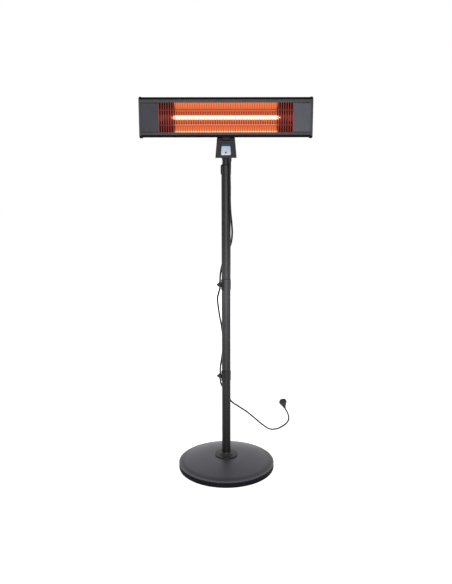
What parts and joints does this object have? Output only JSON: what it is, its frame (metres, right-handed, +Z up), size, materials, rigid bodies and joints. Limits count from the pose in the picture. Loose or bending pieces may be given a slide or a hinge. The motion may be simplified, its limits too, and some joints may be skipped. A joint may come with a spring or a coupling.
{
  "type": "outdoor heater",
  "caption": "Free-standing outdoor radiant heater: wide tilting lamp head with a wire grille on a jointed pole over a round weighted base, with a mains lead.",
  "frame": {"origin": "on the floor under the pole's axis, at the middle of the round base", "axes": "+Z up the pole, -Y out of the front of the lamp head at rest, +X to the right for someone who faces the lamp"},
  "size_m": [0.61, 0.8553, 1.4122],
  "materials": {
    "rubber": "matte",
    "rim_rubber": "matte",
    "cement": "matte",
    "base_paint": "satin",
    "pole_paint": "satin",
    "neck_paint": "satin",
    "box_plastic": "matte",
    "black_plastic": "matte",
    "clip_plastic": "matte",
    "button_plastic": "satin",
    "control_plate": "gloss",
    "status_window": "gloss",
    "board": "satin",
    "cord_rubber": "matte",
    "plug_rubber": "matte",
    "pin_brass": "polished",
    "washer_brass": "satin",
    "zinc_steel": "satin",
    "dark_steel": "satin",
    "cast_grey": "satin",
    "housing_paint": "satin",
    "panel_paint": "satin",
    "end_cap_plastic": "matte",
    "grille_wire": "satin",
    "reflector_metal": "gloss",
    "reflector_end_metal": "satin",
    "quartz": "polished",
    "filament": "satin",
    "ceramic": "matte"
  },
  "bodies": {
    "stand": {"rubber_feet": "rubber", "base_rim": "rim_rubber", "base_weight": "cement", "base_cover": "base_paint", "base_washer": "zinc_steel", "base_bolt": "zinc_steel", "pole_plug": "zinc_steel", "pole_flange": "base_paint", "lower_tube": "pole_paint", "lower_joint_sleeve": "black_plastic", "middle_tube": "pole_paint", "upper_joint_sleeve": "black_plastic", "upper_tube": "pole_paint", "lower_cord_clip": "clip_plastic", "upper_cord_clip": "clip_plastic", "neck_bush": "black_plastic", "clamp_collar": "black_plastic", "clamp_screws": "dark_steel", "neck_tube": "neck_paint", "neck_ferrule": "black_plastic", "yoke": "zinc_steel", "friction_washers": "washer_brass", "hinge_bolt": "zinc_steel", "hinge_nut": "zinc_steel", "box_front_shell": "box_plastic", "box_rear_shell": "box_plastic", "box_screws": "dark_steel", "control_plate": "control_plate", "status_window": "status_window", "button_switch": "black_plastic", "control_board": "board", "tip_over_switch": "black_plastic", "cord_gland": "black_plastic", "strain_relief": "cord_rubber", "mains_cord": "cord_rubber", "plug_body": "plug_rubber", "plug_pins": "pin_brass"},
    "head": {"tilt_tongue": "cast_grey", "tongue_screws": "zinc_steel", "head_housing": "housing_paint", "left_end_cap": "end_cap_plastic", "right_end_cap": "end_cap_plastic", "cap_screws": "dark_steel", "left_face_panel": "panel_paint", "right_face_panel": "panel_paint", "wire_grille": "grille_wire", "reflector": "reflector_metal", "reflector_ends": "reflector_end_metal", "reflector_stays": "zinc_steel", "quartz_tube": "quartz", "filament": "filament", "lamp_holders": "ceramic", "holder_brackets": "zinc_steel", "terminal_block": "ceramic"},
    "power_button": {"power_button": "button_plastic"}
  },
  "joints": [
    {"name": "head_tilt", "type": "hinge", "parent": "stand", "child": "head", "pos_m": [0, 0, 1.255], "axis": [1, 0, 0], "range_deg": [0, 45]},
    {"name": "power_press", "type": "slide", "parent": "stand", "child": "power_button", "axis": [0, 0.9762, -0.2169], "range_m": [0, 0.0015], "stiffness_N_per_m": 800, "springref_m": -0.0015}
  ]
}
